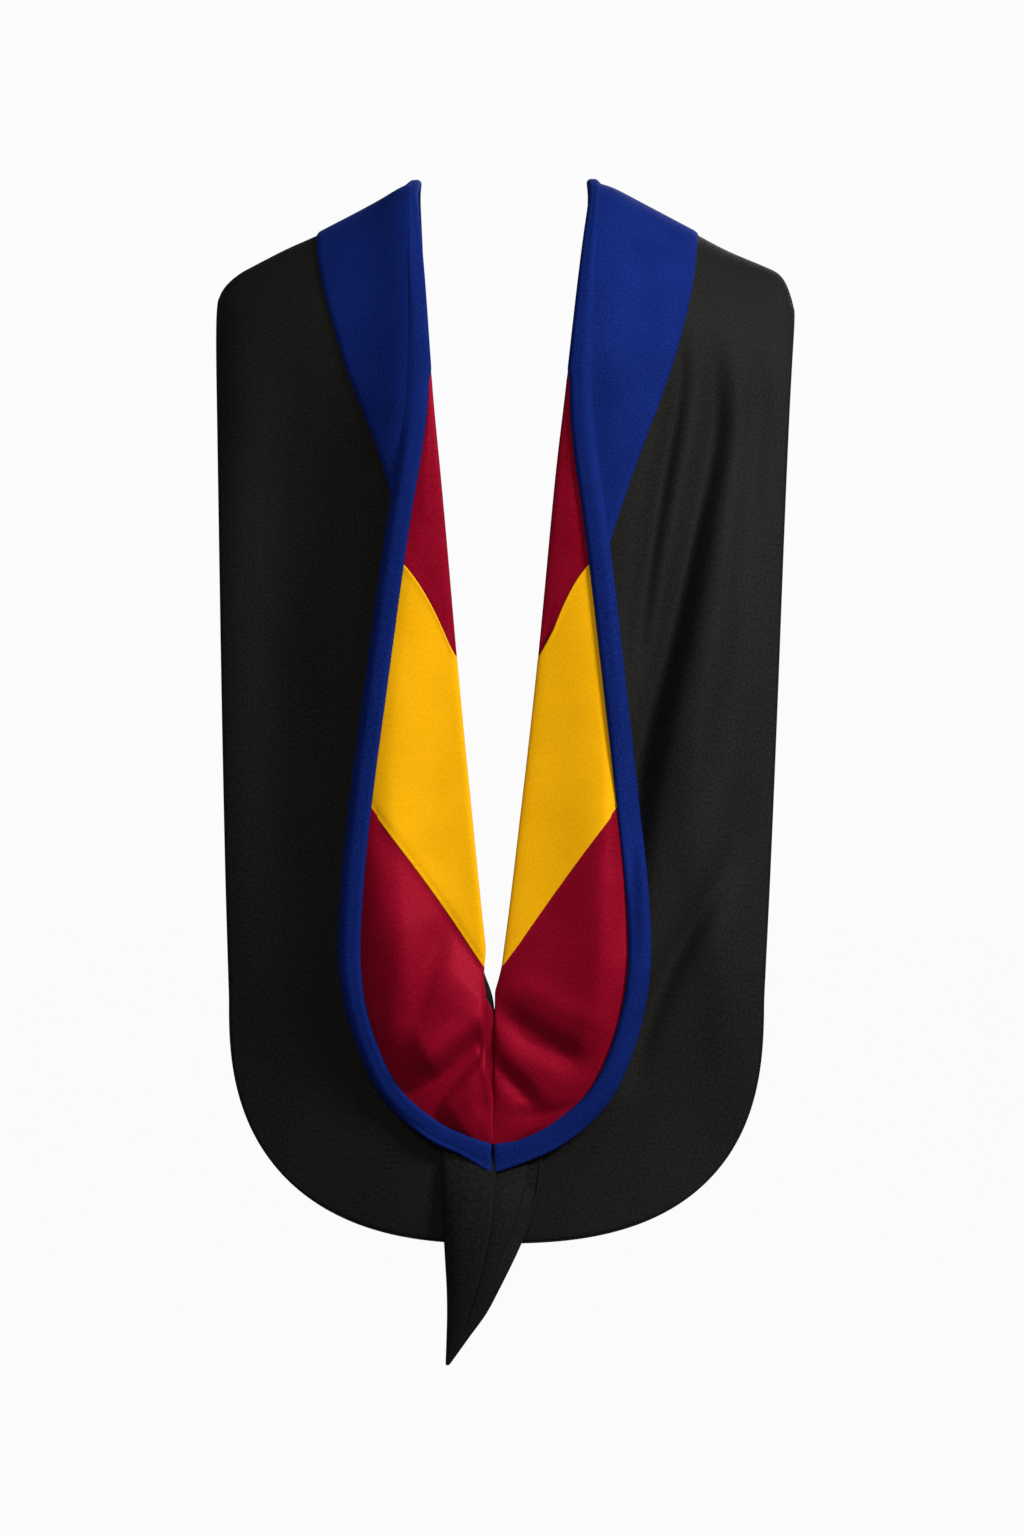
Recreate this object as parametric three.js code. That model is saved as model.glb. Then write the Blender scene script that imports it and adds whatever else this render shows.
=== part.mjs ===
// Academic hood in its worn shape, in millimetres, +Z up, with the back at -Y and the fronts at +Y.
// The origin lies midway between the two neck edges, at the height where the hood sits on the shoulders.
//
// Every piece lies on one curved surface, which drapes from the shoulder line down the back and the chest.
// A place on it has three numbers: "out" is the distance from the middle line, "down" is the cloth length
// from the shoulder line (positive on the back, negative on the front), and "lift" is the height above it.

import * as THREE from 'three';

// Driving sizes of the whole hood
const HALF_WIDTH = 240;
const BACK_DROP = 970;
const FRONT_DROP = 240;
const FRONT_SLANT = 34;
const FRONT_HALF_WIDTH = 132;
const FRONT_CLOSING = 5;
const NECK_WIDTH = 146;
const VEE_DROP = 762;
const CENTRE_LEAN = 10;

// How the cloth hangs on the wearer
const SHOULDER_SLOPE = 0.531;
const NECK_ROUND = 10;
const TIP_DROOP = 9;
const TIP_SPAN = 24;
const BACK_ROLL = 150;
const BACK_DEPTH = 100;
const BACK_EDGE_DEPTH = 38;
const HEM_EDGE_DEPTH = 62;
const HEM_FLARE_DROP = 900;
const SLOPE_FADE = 450;
const FRONT_ROLL = 110;
const FRONT_DEPTH = 90;
const FRONT_EDGE_DEPTH = 44;

// Cloth thicknesses and the air left between two pieces
const WOOL = 1.5;
const VELVET = 2;
const SATIN = 1;
const AIR = 0.6;
const SEAM_AIR = 1.6;

// Black cape
const CAPE_TAPER = 0.925;
const CORNER_DROP = 200;
const CORNER_POWER = 2.5;
const CAPE_INSET = 4.6;
const FOLD_DEPTH = 8;
const FOLD_WIDTH = 14;

// Velvet facing and velvet edge band
const FACING_WIDTH = { left: 76, right: 87 };
const FACING_DROP = { left: 350, right: 391 };
const FACING_FRONT_WIDTH = 62;
const BAND_WIDTH = 17.5;
const BAND_MITRE = 1.32;
const ROLL_WIDTH = 8;
const ROLL_RADIUS = 3.6;
const ROLL_RETURN = 14;
const BAND_HEM = 0.5;

// Satin lining
const LINING_HALF_WIDTH = 110;
const LINING_DROP = 889;
const LINING_PUFF = 14;
const LINING_TUCK = 4;
const SATIN_RETURN = 10;
const SEAM_DIP = 2.5;
const SEAM_TRIM = 0.005;
const SATIN_FOLD_DEPTH = 6;
const SATIN_FOLD_WIDTH = 10;

// Tail that hangs from under the band
const TAIL_GAP = 9;
const TAIL_TOP = LINING_DROP + TAIL_GAP;
const TAIL_LENGTH = 170;
const TAIL_WIDTH = 82;
const TAIL_THICKNESS = 15;
const TAIL_LEFT = 42;
const TAIL_TOP_DIP = 14;
const TAIL_RISE = 5.4;

// Rows of facets along the cloth: their spacing, and how far down the cape it holds
const ROW_PITCH = 24;
const FINE_ROWS_DROP = 360;

// Numbers of facets
const CAPE_LOWER_ROWS = 8;
const CAPE_CORNER_ROWS = 7;
const FACING_COLUMNS = 5;
const BAND_LINING_ROWS = 22;
const BAND_ROLL_STEPS = 3;
const LINING_TOP_GRID = { rows: 8, columns: 5 };
const CHEVRON_GRID = { rows: 7, columns: 8 };
const LINING_FOOT_GRID = { rows: 13, columns: 10 };
const TAIL_ROWS = 12;
const TAIL_COLUMNS = 18;

const wool = new THREE.MeshStandardMaterial({ color: 0x1b1a18, roughness: 0.9, metalness: 0 });
const velvet = new THREE.MeshStandardMaterial({ color: 0x14247a, roughness: 0.85, metalness: 0 });
const maroonSatin = new THREE.MeshStandardMaterial({ color: 0x82051c, roughness: 0.4, metalness: 0 });
const goldSatin = new THREE.MeshStandardMaterial({ color: 0xf2b30f, roughness: 0.45, metalness: 0 });

const SIDES = [
  { name: 'left', sign: -1, width: 0.992, columns: 9 },
  { name: 'right', sign: 1, width: 1.008, columns: 15 },
];

// Half the neck gap, as a share of half the neck width, at shares of the vee's length.
const NECK_EDGE = [
  { down: 0.0, half: 0.985 },
  { down: 0.085, half: 0.985 },
  { down: 0.195, half: 0.905 },
  { down: 0.33, half: 0.772 },
  { down: 0.44, half: 0.645 },
  { down: 0.64, half: 0.456 },
  { down: 0.8, half: 0.284 },
  { down: 0.97, half: 0.08 },
  { down: 1.0, half: 0.0 },
];

// Outer edge of the cape: shares of half the width at shares of the drop above the hem's round corner.
const CAPE_EDGE = [
  { down: 0.0, half: 0.985 },
  { down: 0.13, half: 1.0 },
  { down: 0.3, half: 0.992 },
  { down: 0.57, half: 0.972 },
  { down: 0.85, half: 0.944 },
  { down: 1.0, half: 0.925 },
];

// Outer edge of the cape on the front: from the cape's edge at the shoulder, 0, to the front's end, 1.
const FRONT_EDGE = [
  { down: 0.0, in: 0.0 },
  { down: 0.18, in: 0.03 },
  { down: 0.4, in: 0.22 },
  { down: 0.6, in: 0.52 },
  { down: 0.8, in: 0.82 },
  { down: 1.0, in: 1.0 },
];

// Width of the facing's lapel on the back, as a share of its width, at shares of its drop.
const LAPEL = [
  { down: 0.0, width: 1.0 },
  { down: 0.19, width: 1.0 },
  { down: 0.31, width: 0.975 },
  { down: 0.44, width: 0.9 },
  { down: 0.57, width: 0.785 },
  { down: 0.69, width: 0.63 },
  { down: 0.8, width: 0.43 },
  { down: 0.91, width: 0.19 },
  { down: 1.0, width: 0.03 },
];

// Rows of the lining from its top wedge to its foot. Each row runs from the band's inner edge, "outer",
// to the neck edge or the centre seam, "inner". Rows 4 and 6 are the two seams of the gold chevron.
const LINING = [
  { outerOut: 0.53, outerDown: 0.279, innerDown: 0.281, bow: 0.0, puff: 0.0 },
  { outerOut: 0.544, outerDown: 0.323, innerDown: 0.33, bow: 0.0, puff: 0.08 },
  { outerOut: 0.584, outerDown: 0.365, innerDown: 0.379, bow: 0.001, puff: 0.2 },
  { outerOut: 0.632, outerDown: 0.403, innerDown: 0.426, bow: 0.003, puff: 0.34 },
  { outerOut: 0.695, outerDown: 0.458, innerDown: 0.545, bow: 0.008, puff: 0.42 },
  { outerOut: 0.809, outerDown: 0.571, innerDown: 0.688, bow: 0.006, puff: 0.55 },
  { outerOut: 0.921, outerDown: 0.684, innerDown: 0.832, bow: 0.003, puff: 0.75 },
  { outerOut: 0.991, outerDown: 0.772, innerDown: 0.87, bow: 0.0, puff: 0.95 },
  { outerOut: 1.0, outerDown: 0.839, innerDown: 0.902, bow: 0.0, puff: 1.0 },
  { outerOut: 0.912, outerDown: 0.896, innerDown: 0.93, bow: 0.0, puff: 0.95 },
  { outerOut: 0.727, outerDown: 0.947, innerDown: 0.956, bow: 0.0, puff: 0.62 },
  { outerOut: 0.434, outerDown: 0.98, innerDown: 0.979, bow: 0.0, puff: 0.28 },
  { outerOut: 0.182, outerDown: 0.9955, innerDown: 0.9998, bow: 0.0, puff: 0.03 },
];
const LINING_START = 0.15;
const CHEVRON_TOP = 4;
const CHEVRON_FOOT = 6;

// The two halves of the cape close over a short length about the vee, given as shares of its drop.
const CLOSING_START = 0.97;
const CLOSING_SPAN = 0.06;

// Folds in the hanging cape. Places are shares of half the width and of the back drop, bow is sideways,
// width and depth are shares of the fold sizes. A fold with a depth below zero is a ridge.
const CAPE_FOLDS = {
  left: [
    { out: 0.68, down: 0.2, toOut: 0.72, toDown: 0.7, bow: 0.0, width: 1.6, depth: 0.22 },
    { out: 0.86, down: 0.2, toOut: 0.86, toDown: 0.8, bow: 0.0, width: 1.6, depth: -0.25 },
  ],
  right: [
    { out: 0.735, down: 0.2, toOut: 0.51, toDown: 0.63, bow: -0.055, width: 1.0, depth: 0.95 },
    { out: 0.635, down: 0.23, toOut: 0.5, toDown: 0.46, bow: -0.016, width: 0.8, depth: 0.45 },
    { out: 0.87, down: 0.17, toOut: 0.87, toDown: 0.34, bow: 0.0, width: 1.2, depth: 0.4 },
    { out: 0.81, down: 0.19, toOut: 0.74, toDown: 0.44, bow: -0.02, width: 1.2, depth: -0.4 },
    { out: 0.84, down: 0.65, toOut: 0.57, toDown: 0.81, bow: 0.016, width: 1.1, depth: 0.7 },
  ],
};

// Folds in the lower lining, with places as shares of the lining's half width and drop.
const LINING_FOLDS = {
  left: [
    { out: 0.56, down: 0.818, toOut: 0.42, toDown: 0.955, bow: -0.13, width: 0.9, depth: -0.75 },
    { out: 0.75, down: 0.785, toOut: 0.79, toDown: 0.88, bow: 0.0, width: 0.9, depth: 0.6 },
    { out: 0.08, down: 0.906, toOut: 0.37, toDown: 0.943, bow: 0.0, width: 0.8, depth: 1.0 },
    { out: 0.42, down: 0.842, toOut: 0.22, toDown: 0.876, bow: 0.0, width: 1.2, depth: 0.45 },
  ],
  right: [
    { out: 0.33, down: 0.888, toOut: 0.68, toDown: 0.918, bow: 0.0, width: 0.8, depth: 1.0 },
    { out: 0.1, down: 0.908, toOut: 0.42, toDown: 0.936, bow: 0.0, width: 0.7, depth: -0.7 },
    { out: 0.08, down: 0.926, toOut: 0.33, toDown: 0.949, bow: 0.0, width: 0.7, depth: 0.7 },
  ],
};

// Rows of the tail: its two edges as shares of its width, at shares of its length.
const TAIL = [
  { down: 0.0, left: 0.0, right: 0.96, thick: 0.15 },
  { down: 0.09, left: 0.0, right: 0.96, thick: 0.18 },
  { down: 0.2, left: 0.0, right: 0.93, thick: 0.75 },
  { down: 0.34, left: 0.005, right: 0.85, thick: 1.0 },
  { down: 0.45, left: 0.01, right: 0.765, thick: 1.0 },
  { down: 0.62, left: 0.025, right: 0.6, thick: 0.9 },
  { down: 0.78, left: 0.04, right: 0.41, thick: 0.75 },
  { down: 0.92, left: 0.045, right: 0.21, thick: 0.55 },
  { down: 1.0, left: 0.04, right: 0.1, thick: 0.4 },
];

// Valleys pressed into the tail's face, from its top to where they fade.
const TAIL_PLEATS = [
  { across: 0.54, toAcross: 0.2, toDown: 0.92, depth: 0.5 },
  { across: 0.85, toAcross: 0.72, toDown: 0.4, depth: 0.35 },
];

const mix = (a, b, t) => a + (b - a) * t;
const clamp01 = (t) => Math.min(1, Math.max(0, t));

function smooth(t) {
  const k = clamp01(t);
  return k * k * (3 - 2 * k);
}

// Smooth curve through a table's column, read at a value of its "down" column or at a row number.
function readTable(table, column, at, key) {
  const keys = table.map((row, i) => (key ? row[key] : i));
  const last = table.length - 1;
  const place = Math.min(keys[last], Math.max(keys[0], at));
  let i = 0;
  while (i < last - 1 && place > keys[i + 1]) i += 1;
  const slope = (k) => {
    const a = Math.max(0, k - 1);
    const b = Math.min(last, k + 1);
    return (table[b][column] - table[a][column]) / (keys[b] - keys[a]);
  };
  const span = keys[i + 1] - keys[i];
  const t = (place - keys[i]) / span;
  const t2 = t * t;
  const t3 = t2 * t;
  return (2 * t3 - 3 * t2 + 1) * table[i][column] + (t3 - 2 * t2 + t) * span * slope(i)
    + (3 * t2 - 2 * t3) * table[i + 1][column] + (t3 - t2) * span * slope(i + 1);
}

// The draped surface

function shoulderDrop(x) {
  const beyond = Math.abs(x) - NECK_WIDTH / 2;
  const tip = Math.max(0, (Math.abs(x) - HALF_WIDTH + TIP_SPAN) / TIP_SPAN);
  return SHOULDER_SLOPE * 0.5 * (beyond + Math.hypot(beyond, NECK_ROUND)) + TIP_DROOP * tip * tip;
}

function drapedPoint(x, down) {
  const front = down < 0;
  const length = Math.abs(down);
  const roll = front ? FRONT_ROLL : BACK_ROLL;
  const middle = front ? FRONT_DEPTH : BACK_DEPTH;
  const hemShare = smooth(length / HEM_FLARE_DROP);
  const edge = front ? FRONT_EDGE_DEPTH : mix(BACK_EDGE_DEPTH, HEM_EDGE_DEPTH, hemShare);
  const depth = middle + (edge - middle) * (x / HALF_WIDTH) ** 2;
  const quarter = roll * Math.PI / 2;
  const turned = Math.min(length, quarter) / roll;
  const fallen = roll * (1 - Math.cos(turned)) + Math.max(0, length - quarter);
  const slope = shoulderDrop(x) * (1 - smooth(length / SLOPE_FADE));
  return new THREE.Vector3(x, (front ? 1 : -1) * depth * Math.sin(turned), -slope - fallen);
}

function drapedNormal(x, down) {
  const step = 0.5;
  const across = drapedPoint(x + step, down).sub(drapedPoint(x - step, down));
  const along = drapedPoint(x, down + step).sub(drapedPoint(x, down - step));
  return along.cross(across).normalize();
}

// Depth of a list of folds at a place, each a soft groove along a slightly bowed line.
function foldHeight(folds, out, down, outSize, downSize, foldWidth, foldDepth) {
  let height = 0;
  for (const fold of folds) {
    const runOut = (fold.toOut - fold.out) * outSize;
    const runDown = (fold.toDown - fold.down) * downSize;
    const length = Math.hypot(runOut, runDown);
    const offOut = out - fold.out * outSize;
    const offDown = down - fold.down * downSize;
    const t = (offOut * runOut + offDown * runDown) / (length * length);
    const bow = fold.bow * outSize * 4 * clamp01(t) * (1 - clamp01(t));
    const aside = (offOut * runDown - offDown * runOut) / length + bow;
    const beyond = Math.max(0, -t, t - 1) * length / 2;
    const width = fold.width * foldWidth;
    height -= fold.depth * foldDepth * Math.exp(-(aside * aside + beyond * beyond) / (width * width));
  }
  return height;
}

// A point of the hood from its side, out, down and lift.
function place(side, out, down, lift) {
  const slanted = down < 0 ? down * (1 - frontShortening(out)) : down;
  const x = side.sign * out - CENTRE_LEAN * Math.max(0, down) / BACK_DROP;
  const folds = CAPE_FOLDS[side.name];
  const fold = foldHeight(folds, out, down, HALF_WIDTH, BACK_DROP, FOLD_WIDTH, FOLD_DEPTH);
  return drapedPoint(x, slanted).addScaledVector(drapedNormal(x, slanted), lift + fold);
}

// The fronts end on a slant: the outer corner is cut shorter than the inner one.
function frontShortening(out) {
  const inner = NECK_WIDTH / 2;
  return (FRONT_SLANT / FRONT_DROP) * (out - inner) / (FRONT_HALF_WIDTH - inner);
}

// Closed cloth wall around a grid of points on its middle layer.
function clothWall(grid, thickness) {
  const rows = grid.length;
  const columns = grid[0].length;
  const positions = [];
  for (const face of [1, -1]) {
    for (let i = 0; i < rows; i += 1) {
      for (let j = 0; j < columns; j += 1) {
        const along = grid[Math.min(rows - 1, i + 1)][j].clone().sub(grid[Math.max(0, i - 1)][j]);
        const across = grid[i][Math.min(columns - 1, j + 1)].clone().sub(grid[i][Math.max(0, j - 1)]);
        const normal = along.cross(across).normalize();
        positions.push(grid[i][j].clone().addScaledVector(normal, face * thickness / 2));
      }
    }
  }
  const faces = [];
  const quad = (a, b, c, d) => faces.push([a, b, c], [a, c, d]);
  const back = rows * columns;
  const at = (i, j) => i * columns + j;
  for (let i = 0; i < rows - 1; i += 1) {
    for (let j = 0; j < columns - 1; j += 1) {
      quad(at(i, j), at(i + 1, j), at(i + 1, j + 1), at(i, j + 1));
      quad(back + at(i, j), back + at(i, j + 1), back + at(i + 1, j + 1), back + at(i + 1, j));
    }
  }
  for (let i = 0; i < rows - 1; i += 1) {
    quad(at(i, 0), back + at(i, 0), back + at(i + 1, 0), at(i + 1, 0));
    quad(at(i + 1, columns - 1), back + at(i + 1, columns - 1), back + at(i, columns - 1), at(i, columns - 1));
  }
  for (let j = 0; j < columns - 1; j += 1) {
    quad(at(0, j + 1), back + at(0, j + 1), back + at(0, j), at(0, j));
    quad(at(rows - 1, j), back + at(rows - 1, j), back + at(rows - 1, j + 1), at(rows - 1, j + 1));
  }
  return closedGeometry(positions, faces);
}

// Indexed geometry whose faces are turned so that they all point out of the body.
function closedGeometry(positions, faces) {
  let volume = 0;
  for (const [a, b, c] of faces) {
    volume += positions[a].dot(positions[b].clone().cross(positions[c]));
  }
  const index = volume > 0 ? faces.flat() : faces.flatMap(([a, b, c]) => [a, c, b]);
  const geometry = new THREE.BufferGeometry().setFromPoints(positions);
  geometry.setIndex(index);
  geometry.computeVertexNormals();
  return geometry;
}

function rowPlaces(from, to) {
  const count = Math.round((to - from) / ROW_PITCH);
  return Array.from({ length: count + 1 }, (_, i) => from + (to - from) * i / count);
}

// Edges that several pieces share

function neckEdge(down) {
  const half = NECK_WIDTH / 2;
  if (down < 0) return half * NECK_EDGE[0].half - FRONT_CLOSING * smooth(-down / FRONT_DROP);
  return half * readTable(NECK_EDGE, 'half', down / VEE_DROP, 'down');
}

function capeEdge(side, down) {
  const half = HALF_WIDTH * side.width;
  const straight = BACK_DROP - CORNER_DROP;
  if (down >= 0) return half * readTable(CAPE_EDGE, 'half', down / straight, 'down');
  const shoulder = half * CAPE_EDGE[0].half;
  return mix(shoulder, FRONT_HALF_WIDTH, readTable(FRONT_EDGE, 'in', -down / FRONT_DROP, 'down'));
}

// Seam between the facing and the rolled neck edge, above the place where the lining starts.
function rollLine(down) {
  const top = neckEdge(0) + ROLL_WIDTH;
  if (down < 0) return neckEdge(down) + ROLL_WIDTH;
  const start = LINING[0].outerDown * LINING_DROP;
  const foot = LINING[0].outerOut * LINING_HALF_WIDTH + BAND_WIDTH;
  return mix(top, foot, smooth(down / start));
}

function bandInner(row) {
  const out = LINING_HALF_WIDTH * readTable(LINING, 'outerOut', row);
  const down = LINING_DROP * readTable(LINING, 'outerDown', row);
  return new THREE.Vector2(out, down);
}

// Direction away from the lining, square to the band, at a row of the lining table.
function bandOutward(row) {
  const step = 0.05;
  const along = bandInner(row + step).sub(bandInner(row - step)).normalize();
  return new THREE.Vector2(along.y, -along.x);
}

// Black cape, in two halves that meet at the middle of the back

function capeInner(down) {
  const closing = smooth((down / VEE_DROP - CLOSING_START) / CLOSING_SPAN);
  return neckEdge(down) + mix(CAPE_INSET, AIR / 2, closing);
}

function capeHalf(side) {
  const straight = BACK_DROP - CORNER_DROP;
  const rows = rowPlaces(-FRONT_DROP, FINE_ROWS_DROP);
  for (let i = 1; i <= CAPE_LOWER_ROWS; i += 1) rows.push(mix(FINE_ROWS_DROP, straight, i / CAPE_LOWER_ROWS));
  const grid = rows.map((down) => {
    const row = [];
    for (let j = 0; j <= side.columns; j += 1) {
      const out = mix(capeInner(down), capeEdge(side, down), j / side.columns);
      row.push(place(side, out, down, WOOL / 2));
    }
    return row;
  });
  const half = HALF_WIDTH * side.width * CAPE_TAPER;
  const power = CORNER_POWER;
  for (let i = 1; i <= CAPE_CORNER_ROWS; i += 1) {
    const k = i / CAPE_CORNER_ROWS;
    const row = [];
    for (let j = 0; j <= side.columns; j += 1) {
      const u = j / side.columns;
      const down = straight + CORNER_DROP * k * (1 - u ** power / 2) ** (1 / power);
      const inner = capeInner(down);
      const out = inner + (half - inner) * u * (1 - k ** power / 2) ** (1 / power);
      row.push(place(side, out, down, WOOL / 2));
    }
    grid.push(row);
  }
  return clothWall(grid, WOOL);
}

// Velvet facing: a lapel on the back, over the shoulder and down the front

function facingWidth(side, down) {
  const top = FACING_WIDTH[side.name];
  if (down < 0) return mix(top, FACING_FRONT_WIDTH - ROLL_WIDTH, smooth(-down / FRONT_DROP));
  return top * readTable(LAPEL, 'width', down / FACING_DROP[side.name], 'down');
}

function facing(side) {
  const lift = WOOL + AIR + VELVET / 2;
  const grid = rowPlaces(-FRONT_DROP, FACING_DROP[side.name]).map((down) => {
    const inner = facingInner(down) + SEAM_AIR;
    const row = [];
    for (let j = 0; j <= FACING_COLUMNS; j += 1) {
      row.push(place(side, inner + facingWidth(side, down) * j / FACING_COLUMNS, down, lift));
    }
    return row;
  });
  return clothWall(grid, VELVET);
}

// The facing starts where the band's outer edge lies.
function facingInner(down) {
  const start = LINING[0].outerDown * LINING_DROP;
  if (down <= start) return rollLine(down);
  let row = 0;
  while (bandOuter(row).y < down) row += 0.05;
  return bandOuter(row).x;
}

function bandOuter(row) {
  return bandInner(row).addScaledVector(bandOutward(row), BAND_WIDTH);
}

// Velvet band: a rolled edge round the neck, then a folded strip round the lining to the foot of the back

// Section of the band from its outer edge to its inner one. At the neck it wraps round the cape's edge
// and returns inside it; round the lining its edge only turns down onto the satin.
function bandSection(width, wrap, edgeLift) {
  const underside = mix(WOOL + AIR + SATIN + AIR + VELVET / 2, -VELVET / 2 - AIR, wrap);
  const crest = underside + ROLL_RADIUS * (1 + wrap);
  const turn = Math.PI / 2 * (1 + wrap);
  const points = [
    { across: width, lift: edgeLift },
    { across: mix(ROLL_RADIUS, width, 0.75), lift: mix(edgeLift, crest, 0.7) },
    { across: mix(ROLL_RADIUS, width, 0.3), lift: crest },
  ];
  for (let i = 1; i <= BAND_ROLL_STEPS; i += 1) {
    const angle = turn * i / BAND_ROLL_STEPS;
    const across = ROLL_RADIUS * (1 - Math.sin(angle));
    points.push({ across, lift: crest - ROLL_RADIUS * (1 - Math.cos(angle)) });
  }
  const end = points[points.length - 1];
  const flat = BAND_HEM + ROLL_RETURN * smooth((wrap - 0.85) / 0.15);
  points.push({ across: end.across + flat * wrap, lift: end.lift - BAND_HEM * (1 - wrap) });
  return points;
}

function band(side) {
  const outerLift = WOOL + AIR + VELVET / 2;
  const grid = [];
  const liningTop = LINING[0].outerDown * LINING_DROP;
  for (const down of rowPlaces(-FRONT_DROP, liningTop)) {
    const inner = neckEdge(down);
    const wrap = 1 - smooth((down - liningTop * 0.5) / (liningTop * 0.44));
    const section = bandSection(rollLine(down) - inner, wrap, outerLift);
    grid.push(section.map(({ across, lift }) => place(side, inner + across, down, lift)));
  }
  const lastRow = LINING.length - 1;
  for (let i = 1; i <= BAND_LINING_ROWS; i += 1) {
    const row = lastRow * i / BAND_LINING_ROWS;
    const inner = bandInner(row);
    const outward = bandOutward(row);
    const edgeLift = outerLift + TAIL_RISE * smooth(row - lastRow + 2);
    const section = bandSection(BAND_WIDTH, 0, edgeLift);
    grid.push(section.map(({ across, lift }) => {
      const point = inner.clone().addScaledVector(outward, across);
      return place(side, point.x, point.y, lift);
    }));
  }
  const mitre = bandSection(BAND_WIDTH, 0, outerLift + TAIL_RISE);
  grid.push(mitre.map(({ across, lift }) => place(side, AIR / 2, LINING_DROP + across * BAND_MITRE, lift)));
  return clothWall(grid, VELVET);
}

// Satin lining, turned out on the back: a maroon top, a gold chevron and a maroon foot

function liningLift(side, row, u, out, down) {
  const bulge = Math.sin(Math.PI * clamp01(u));
  const puff = LINING_PUFF * readTable(LINING, 'puff', row);
  let seams = 0;
  for (const seam of [CHEVRON_TOP, CHEVRON_FOOT]) {
    const away = (row - seam) * LINING_DROP / LINING.length;
    seams += SEAM_DIP * Math.exp(-((away / SATIN_FOLD_WIDTH) ** 2));
  }
  const folds = foldHeight(
    LINING_FOLDS[side.name], out, down, LINING_HALF_WIDTH, LINING_DROP, SATIN_FOLD_WIDTH, SATIN_FOLD_DEPTH,
  );
  const relief = Math.max(folds - seams, -0.8 * puff);
  return WOOL + AIR + SATIN / 2 + (puff + relief) * bulge;
}

function liningRow(side, row, columns, hasReturn) {
  const flatLift = WOOL + AIR + SATIN / 2;
  const radius = (flatLift + AIR + SATIN / 2) / 2;
  const outer = bandInner(row);
  const innerDown = LINING_DROP * readTable(LINING, 'innerDown', row);
  const edge = Math.max(neckEdge(innerDown), AIR / 2);
  const inner = new THREE.Vector2(edge + radius, innerDown);
  const bow = LINING_DROP * readTable(LINING, 'bow', row);
  const tuck = outer.clone().addScaledVector(bandOutward(row), LINING_TUCK);
  const points = [place(side, tuck.x, tuck.y, flatLift)];
  for (let j = 0; j <= columns; j += 1) {
    const u = j / columns;
    const out = mix(outer.x, inner.x, u);
    const down = mix(outer.y, inner.y, u) - bow * 4 * u * (1 - u);
    points.push(place(side, out, down, liningLift(side, row, u, out, down)));
  }
  if (!hasReturn) {
    points.push(place(side, edge, inner.y, flatLift));
    return points;
  }
  for (const angle of [Math.PI / 3, Math.PI * 2 / 3, Math.PI]) {
    const out = edge + radius * (1 - Math.sin(angle));
    points.push(place(side, out, inner.y, flatLift - radius * (1 - Math.cos(angle))));
  }
  points.push(place(side, edge + radius + SATIN_RETURN, inner.y, -AIR - SATIN / 2));
  return points;
}

function liningPiece(side, from, to, { rows, columns }, hasReturn) {
  const grid = [];
  for (let i = 0; i <= rows; i += 1) {
    grid.push(liningRow(side, mix(from, to, i / rows), columns, hasReturn));
  }
  return clothWall(grid, SATIN);
}

// Tail: a flattened hollow sleeve of black cloth, closed at its pointed foot

function tailPoint(rowShare, angle) {
  const left = TAIL_WIDTH * readTable(TAIL, 'left', rowShare, 'down') - TAIL_LEFT;
  const right = TAIL_WIDTH * readTable(TAIL, 'right', rowShare, 'down') - TAIL_LEFT;
  const thick = TAIL_THICKNESS * readTable(TAIL, 'thick', rowShare, 'down');
  const across = 0.5 - 0.5 * Math.cos(angle);
  const swell = Math.sign(Math.sin(angle)) * Math.abs(Math.sin(angle)) ** 0.7;
  let face = swell;
  if (swell > 0) {
    for (const pleat of TAIL_PLEATS) {
      const along = rowShare / pleat.toDown;
      const line = mix(pleat.across, pleat.toAcross, along);
      const fade = (1 - smooth((along - 0.7) / 0.3)) * smooth(rowShare / 0.2);
      face -= pleat.depth * fade * Math.exp(-(((across - line) / 0.09) ** 2)) * swell;
    }
  }
  const x = mix(left, right, across);
  const topDip = TAIL_TOP_DIP * Math.abs(x) / TAIL_LEFT * (1 - clamp01(rowShare / 0.2));
  const down = TAIL_TOP + TAIL_LENGTH * rowShare - topDip;
  const lift = WOOL + AIR + WOOL / 2 + thick * (0.5 + 0.5 * face);
  const middle = -CENTRE_LEAN * down / BACK_DROP;
  return drapedPoint(x + middle, down).add(new THREE.Vector3(0, -lift, 0));
}

function tail() {
  const grid = [];
  for (let i = 0; i <= TAIL_ROWS; i += 1) {
    const loop = [];
    for (let j = 0; j < TAIL_COLUMNS; j += 1) loop.push(tailPoint(i / TAIL_ROWS, 2 * Math.PI * j / TAIL_COLUMNS));
    grid.push(loop);
  }
  return closedSleeve(grid, WOOL);
}

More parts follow.
